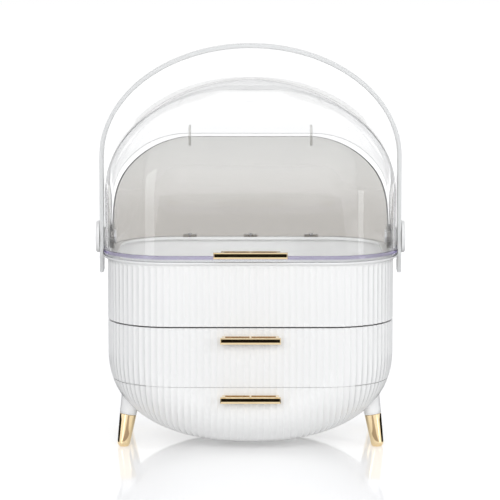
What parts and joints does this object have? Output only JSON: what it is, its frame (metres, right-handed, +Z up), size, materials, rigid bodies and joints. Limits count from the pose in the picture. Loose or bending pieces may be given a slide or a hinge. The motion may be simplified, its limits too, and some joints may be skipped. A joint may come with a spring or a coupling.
{
  "type": "dustproof makeup organizer",
  "caption": "Ribbed countertop cosmetics box with pull-out drawers, an open tray under a clear tip-back lid, splayed legs and a swinging carry handle.",
  "frame": {"origin": "centre of the footprint at the ground, under the middle of the bounding box", "axes": "+X to the object's left as it faces out (the viewer's right), +Y towards its back, +Z up; drawers open towards -Y"},
  "size_m": [0.3066, 0.2174, 0.397],
  "materials": {
    "white_plastic": "satin gloss moulded",
    "clear_plastic": "clear polished acrylic-like plastic",
    "handle_plastic": "slightly translucent white",
    "gold_plating": "polished gold plating",
    "steel": "plain screw steel"
  },
  "bodies": {
    "organizer": {"base_shell": "white_plastic", "middle_shelf": "white_plastic", "middle_shell": "white_plastic", "tray": "white_plastic", "tie_screws": "steel", "rear_shell": "clear_plastic", "rear_shell_screws": "steel", "pivot_pin_left": "steel", "pivot_pin_right": "steel", "pivot_washer_left": "white_plastic", "pivot_washer_right": "white_plastic", "pivot_cap_left": "white_plastic", "pivot_cap_right": "white_plastic", "upper_runner_left": "white_plastic", "upper_runner_right": "white_plastic", "lower_runner_left": "white_plastic", "lower_runner_right": "white_plastic", "leg_tip_front_left": "gold_plating", "leg_tip_front_right": "gold_plating", "leg_tip_back_left": "gold_plating", "leg_tip_back_right": "gold_plating", "leg_screws": "steel"},
    "lid": {"lid": "clear_plastic", "lid_pull": "gold_plating", "lid_pull_screws": "steel"},
    "handle": {"handle": "handle_plastic"},
    "upper_drawer": {"upper_drawer_front": "white_plastic", "upper_drawer_box": "white_plastic", "upper_drawer_pull": "gold_plating", "upper_drawer_screws": "steel"},
    "lower_drawer": {"lower_drawer_front": "white_plastic", "lower_drawer_box": "white_plastic", "lower_drawer_pull": "gold_plating", "lower_drawer_screws": "steel"}
  },
  "joints": [
    {"name": "lid_hinge", "type": "hinge", "parent": "organizer", "child": "lid", "pos_m": [0, 0.00665, 0.203], "axis": [-1, 0, 0], "range_deg": [0, 78]},
    {"name": "handle_hinge", "type": "hinge", "parent": "organizer", "child": "handle", "pos_m": [0, 0.00665, 0.203], "axis": [1, 0, 0], "range_deg": [-90, 90]},
    {"name": "upper_drawer_slide", "type": "slide", "parent": "organizer", "child": "upper_drawer", "axis": [0, -1, 0], "range_m": [0, 0.15]},
    {"name": "lower_drawer_slide", "type": "slide", "parent": "organizer", "child": "lower_drawer", "axis": [0, -1, 0], "range_m": [0, 0.12]}
  ]
}
